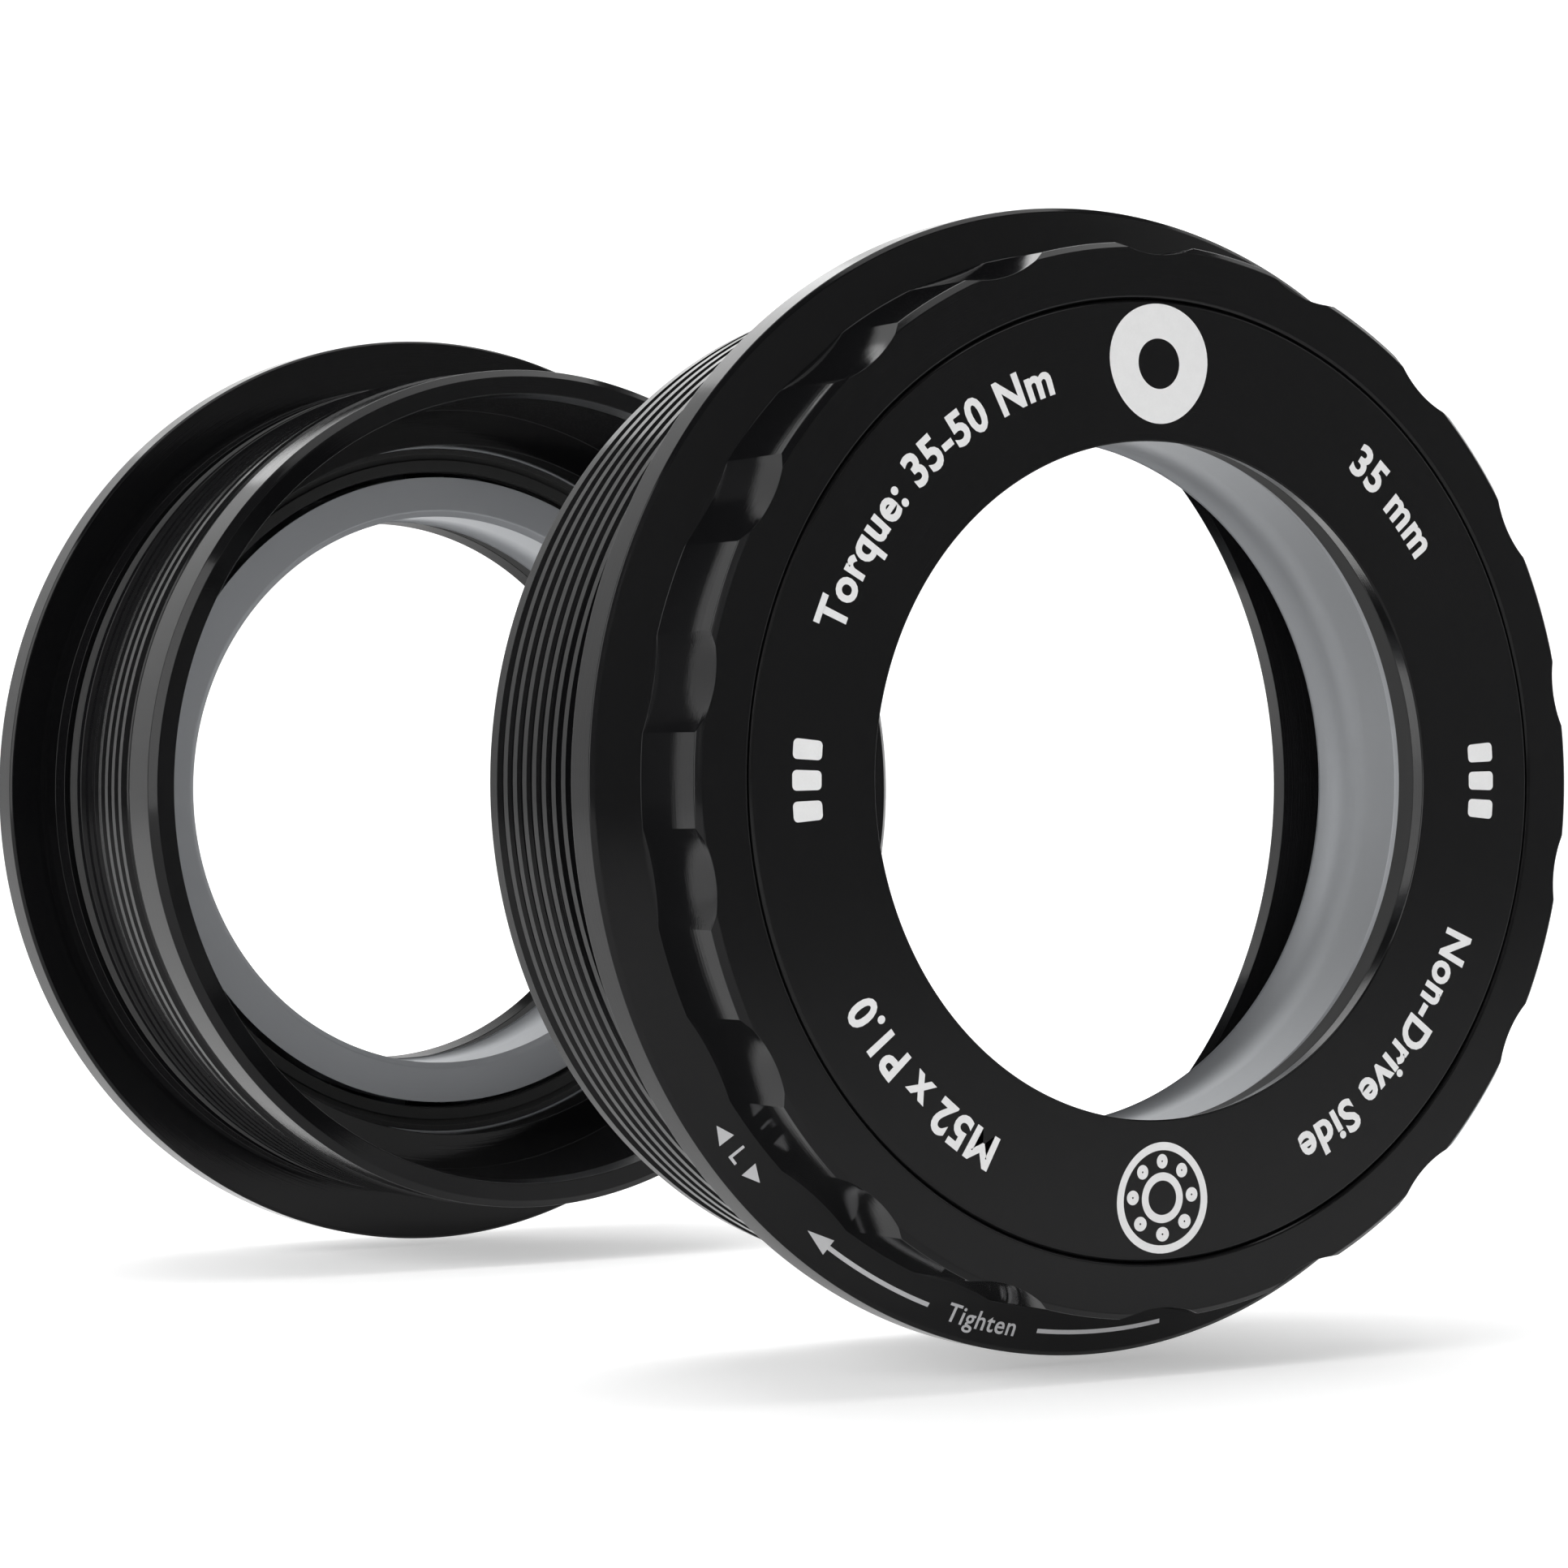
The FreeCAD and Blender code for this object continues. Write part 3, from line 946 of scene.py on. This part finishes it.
def flange_marks(side, cup):
    """Etched marks on the flange's sloping face: which way to turn the cup."""
    slope = cup.flange_rise / (FLANGE_RADIUS - cup.flange_bevel * 1.1 - cup.ring_radius)

    def on_flange(radius):
        return cup.ring_length + (radius - cup.ring_radius) * slope

    marks = []

    def etch(mesh, degrees):
        marks.append(wrap(mesh, side, FLANGE_MARK_RADIUS, degrees, on_flange, False))

    arrow = [(0.75 * MM, 0.42 * MM), (-0.75 * MM, 0.0), (0.75 * MM, -0.42 * MM)]
    for degrees, flip in ((217.4, 1), (223.2, -1)):
        etch(plate_shape([(across * 0.62 * flip, up) for across, up in arrow][::flip]), degrees)
    etch(flat_text("L" if side == "non_drive" else "R", 0.85 * MM, ETCHED_WEIGHT), 220.3)
    # the drive side's thread has the other hand, so its arrow points the other way
    turn, head = (1, 233.2) if side == "non_drive" else (-1, 279.0)
    etch(plate_shape([(across * turn, up) for across, up in arrow][::turn]), head)
    etch(bar_shape(6.9 * MM, ETCHED_LINE), 241.3)
    etch(flat_text("Tighten", 0.9 * MM, ETCHED_WEIGHT), 255.3)
    etch(bar_shape(7.6 * MM, ETCHED_LINE), 270.2)
    return joined(side + "_flange_marks", marks, "etched_mark")


# ---- operators ------------------------------------------------------------------------------

class OBJECT_OT_bracket_cups(bpy.types.Operator):
    """Make both cups, their threads and their O-rings"""
    bl_idname = "object.bracket_cups"
    bl_label = "Cups and Threads"

    def execute(self, context):
        cup = context.scene.bracket_cup
        for side in SIDES:
            fasten(cup_body(side, cup), side, "cup_assembly", "black_anodised", "cup")
            fasten(thread_ridge(side, cup), side, "cup_assembly", "black_anodised")
            fasten(shell_ring(side, cup), side, "cup_assembly", "o_ring_rubber", "shell_o_ring")
        return {"FINISHED"}


class OBJECT_OT_bracket_caps(bpy.types.Operator):
    """Make both dust caps and the seals behind them"""
    bl_idname = "object.bracket_caps"
    bl_label = "Dust Caps"

    def execute(self, context):
        bearing = context.scene.bracket_bearing
        for side in SIDES:
            fasten(cap_body(side, bearing), side, "cup_assembly", "black_cap", "dust_cap")
            fasten(lip_seal(side, bearing), side, "cup_assembly", "seal_rubber", "spindle_seal")
        return {"FINISHED"}


class OBJECT_OT_bracket_bearings(bpy.types.Operator):
    """Make the bearings' rings, balls and seals"""
    bl_idname = "object.bracket_bearings"
    bl_label = "Bearings"

    def execute(self, context):
        bearing = context.scene.bracket_bearing
        for side in SIDES:
            fasten(inner_ring(side, bearing), side, "inner_ring", "bearing_steel", "bearing_inner_ring")
            fasten(ball_ring(side, bearing), side, "ball_set", "ball_steel", "bearing_balls")
            for facing, node in ((-1, "bearing_outboard_seal"), (1, "bearing_inboard_seal")):
                seal = bearing_seal(side, facing, bearing)
                fasten(seal, side, "cup_assembly", "seal_rubber", node)
        return {"FINISHED"}


class OBJECT_OT_bracket_print(bpy.types.Operator):
    """Print the caps and etch the flanges"""
    bl_idname = "object.bracket_print"
    bl_label = "Print and Marks"

    def execute(self, context):
        cup = context.scene.bracket_cup
        for side in SIDES:
            fasten(cap_print(side), side, "cup_assembly", "white_print")
            fasten(flange_marks(side, cup), side, "cup_assembly", "etched_mark")
        return {"FINISHED"}


class OBJECT_OT_bracket_hidden(bpy.types.Operator):
    """Give the hidden pieces their finishes"""
    bl_idname = "object.bracket_hidden"
    bl_label = "Hidden Pieces"

    def execute(self, context):
        kept = {"bearing_outer_ring": "ground_steel", "bearing_cage": "cage_plastic",
                "cap_o_ring": "o_ring_rubber"}
        for side in SIDES:
            for node, material in kept.items():
                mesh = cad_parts[side + "_" + node].data
                mesh.materials.clear()
                mesh.materials.append(finishes()[material])
        return {"FINISHED"}


class OBJECT_OT_bracket_stage(bpy.types.Operator):
    """Set the floor, the backdrop, the lights and the camera"""
    bl_idname = "object.bracket_stage"
    bl_label = "Studio"

    def execute(self, context):
        stage = context.scene.bracket_stage
        build_sweep()
        room_light(stage.room)
        softbox("side_softbox", (-0.42, -0.10, 0.16), (0.30, 0.42), stage.key)
        softbox("top_softbox", (0.02, 0.05, 0.45), (0.50, 0.40), stage.top)
        softbox("back_softbox", (0.25, 0.42, 0.40), (0.60, 0.30), stage.back)
        build_camera(stage.lens)
        context.scene.view_settings.view_transform = "Standard"
        return {"FINISHED"}


# ---- studio ---------------------------------------------------------------------------------

CAMERA_PLACE = Vector((-0.12997, -0.21841, -0.00137))
CAMERA_ACROSS = Vector((0.85098, -0.52519, -0.00359))
CAMERA_UP = Vector((0.0, -0.00684, 0.99998))
FLOOR_GAP = 0.5 * MM


def build_camera(lens):
    """A level camera on the non-drive side, a third of a right angle off the spindle axis."""
    data = bpy.data.cameras.new("bracket_camera")
    data.lens = lens
    data.sensor_width = 36.0
    data.clip_start = 0.01
    data.clip_end = 10.0
    camera = bpy.data.objects.new("bracket_camera", data)
    bpy.context.scene.collection.objects.link(camera)
    back = CAMERA_ACROSS.cross(CAMERA_UP).normalized()
    up = back.cross(CAMERA_ACROSS).normalized()
    turn = Matrix((CAMERA_ACROSS.normalized(), up, back)).transposed()
    camera.matrix_world = Matrix.Translation(CAMERA_PLACE) @ turn.to_4x4()
    bpy.context.scene.camera = camera


def build_sweep():
    """A pale round floor that curves up into a wall all round; its paper has a painted glow, brightest
    behind the object.
    """
    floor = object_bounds()[0].z - FLOOR_GAP
    reach, bend, top, columns = 1.1, 0.5, 1.6, 96
    line = [(0.0, floor), (reach, floor)]
    for step in range(1, 17):
        turn = math.pi / 2 * step / 16
        line.append((reach + bend * math.sin(turn), floor + bend * (1 - math.cos(turn))))
    line.append((reach + bend, top))
    points = [Vector((0.0, 0.0, floor))]
    for out, up in line[1:]:
        for column in range(columns):
            turn = 2 * math.pi * column / columns
            points.append(Vector((out * math.cos(turn), out * math.sin(turn), up)))
    faces = []
    for column in range(columns):
        beside = (column + 1) % columns
        faces.append((0, 1 + column, 1 + beside))
        for row in range(len(line) - 2):
            lower = 1 + row * columns
            upper = lower + columns
            faces.append((lower + column, upper + column, upper + beside, lower + beside))
    mesh = bpy.data.meshes.new("sweep")
    mesh.from_pydata(points, [], faces)
    mesh.shade_smooth()
    mesh.materials.append(sweep_paper())
    sweep = bpy.data.objects.new("sweep", mesh)
    bpy.context.scene.collection.objects.link(sweep)
    sweep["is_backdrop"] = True


def sweep_paper():
    """Pale paper with a painted backlight glow, brightest on the side that the object is seen against."""
    finish = Finish("sweep_paper")
    grain = finish.noise(30.0, 2.0)
    split = finish.node("ShaderNodeSeparateXYZ", {}, {0: finish.coordinates})
    # painted backlight: emission glow on the paper, bright behind the object as seen from the camera and
    # faint in front
    ahead = Value(finish, split.outputs["X"]) * 0.5252 + Value(finish, split.outputs["Y"]) * 0.851
    painted_backlight_mask = finish.node("ShaderNodeMapRange", {"interpolation_type": "SMOOTHSTEP"}, {
        "Value": ahead, "From Min": -0.6, "From Max": 0.5})
    painted_backlight_glow = finish.tint(painted_backlight_mask.outputs[0], (0.02, 0.02, 0.02), (0.62, 0.62, 0.62))
    return finish.surface({
        "Base Color": finish.tint(grain, (0.78, 0.78, 0.78), (0.81, 0.81, 0.81)), "Roughness": 0.9,
        "Emission Color": painted_backlight_glow, "Emission Strength": 1.0})


def room_light(strength):
    """Even light from all round."""
    world = bpy.data.worlds.new("room")
    world.use_nodes = True
    world.node_tree.nodes["Background"].inputs["Color"].default_value = (1.0, 1.0, 1.0, 1.0)
    world.node_tree.nodes["Background"].inputs["Strength"].default_value = strength
    bpy.context.scene.world = world


def softbox(name, place_at, size, power):
    """A rectangular softbox that faces the middle of the object."""
    data = bpy.data.lights.new(name, "AREA")
    data.shape = "RECTANGLE"
    data.size, data.size_y = size
    data.energy = power
    light = bpy.data.objects.new(name, data)
    bpy.context.scene.collection.objects.link(light)
    light.location = place_at
    light.rotation_mode = "QUATERNION"
    light.rotation_quaternion = (-Vector(place_at)).to_track_quat("-Z", "Y")


class VIEW3D_PT_bracket(bpy.types.Panel):
    """Sidebar panel with the sizes, finishes and builders"""
    bl_label = "Bottom Bracket"
    bl_idname = "VIEW3D_PT_bracket"
    bl_space_type = "VIEW_3D"
    bl_region_type = "UI"
    bl_category = "Bottom Bracket"

    def draw(self, context):
        for group in GROUPS:
            box = self.layout.box()
            settings = getattr(context.scene, group)
            for name in settings.bl_rna.properties.keys():
                if name not in ("rna_type", "name"):
                    box.prop(settings, name)
        for operator in BUILDERS:
            self.layout.operator(operator.bl_idname)


GROUPS = {"bracket_cup": CupSizes, "bracket_bearing": BearingSizes,
          "bracket_finish": FinishColours, "bracket_stage": StageSizes}
BUILDERS = (OBJECT_OT_bracket_cups, OBJECT_OT_bracket_caps, OBJECT_OT_bracket_bearings,
            OBJECT_OT_bracket_print, OBJECT_OT_bracket_hidden, OBJECT_OT_bracket_stage)


def register():
    for group in GROUPS.values():
        bpy.utils.register_class(group)
    for name, group in GROUPS.items():
        setattr(bpy.types.Scene, name, PointerProperty(type=group))
    for operator in BUILDERS:
        bpy.utils.register_class(operator)
    bpy.utils.register_class(VIEW3D_PT_bracket)


def unregister():
    bpy.utils.unregister_class(VIEW3D_PT_bracket)
    for operator in reversed(BUILDERS):
        bpy.utils.unregister_class(operator)
    for name, group in GROUPS.items():
        delattr(bpy.types.Scene, name)
        bpy.utils.unregister_class(group)


def main():
    """Build the whole scene."""
    register()
    bpy.ops.object.bracket_cups()
    bpy.ops.object.bracket_caps()
    bpy.ops.object.bracket_bearings()
    bpy.ops.object.bracket_print()
    bpy.ops.object.bracket_hidden()
    bpy.ops.object.bracket_stage()


if __name__ == "__main__":
    main()
